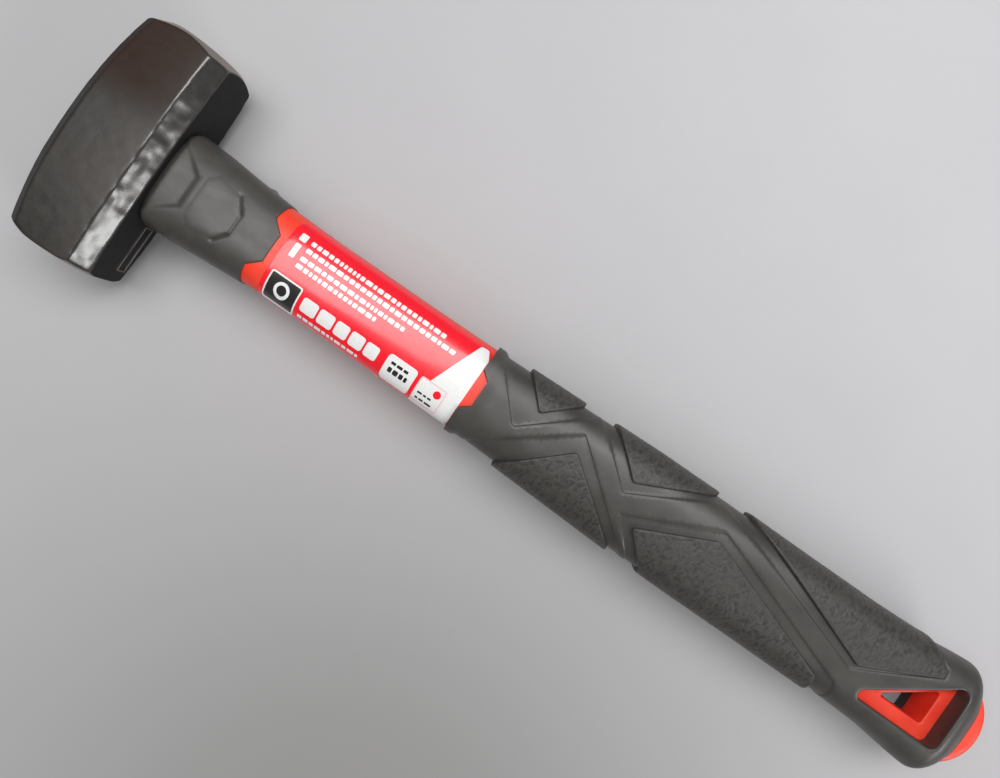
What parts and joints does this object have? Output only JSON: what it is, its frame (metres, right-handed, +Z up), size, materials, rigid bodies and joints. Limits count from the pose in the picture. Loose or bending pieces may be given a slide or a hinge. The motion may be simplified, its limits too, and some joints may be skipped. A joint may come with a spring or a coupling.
{
  "type": "lump hammer",
  "caption": "Lump hammer with a forged octagonal steel head on a glass-fibre handle with a hard sleeve, a textured rubber grip and a hanging hole.",
  "frame": {"origin": "on the surface the hammer lies on, under the middle of its overall length and width", "axes": "+X along the handle from the head to the butt, +Y along the head from one striking face to the other, +Z up through the cheeks; the hammer lies on its side"},
  "size_m": [0.3326, 0.0784, 0.0315],
  "materials": {
    "forged_steel": "dark satin lacquer over forged steel, glossy on the bevels",
    "resin": "cast epoxy, slightly glossy",
    "glass_fibre": "pultruded glass fibre, matt",
    "red_polypropylene": "satin moulded",
    "black_elastomer": "smooth satin thermoplastic rubber",
    "textured_elastomer": "leather-grained thermoplastic rubber",
    "printed_film": "glossy printed film"
  },
  "bodies": {
    "root": {"head": "forged_steel", "eye_resin": "resin", "fibre_core": "glass_fibre", "sleeve": "red_polypropylene", "collar": "black_elastomer", "grip": "black_elastomer", "pad_upper_front": "textured_elastomer", "pad_upper_middle": "textured_elastomer", "pad_upper_rear": "textured_elastomer", "pad_lower_front": "textured_elastomer", "pad_lower_rear": "textured_elastomer", "label": "printed_film"}
  },
  "joints": []
}
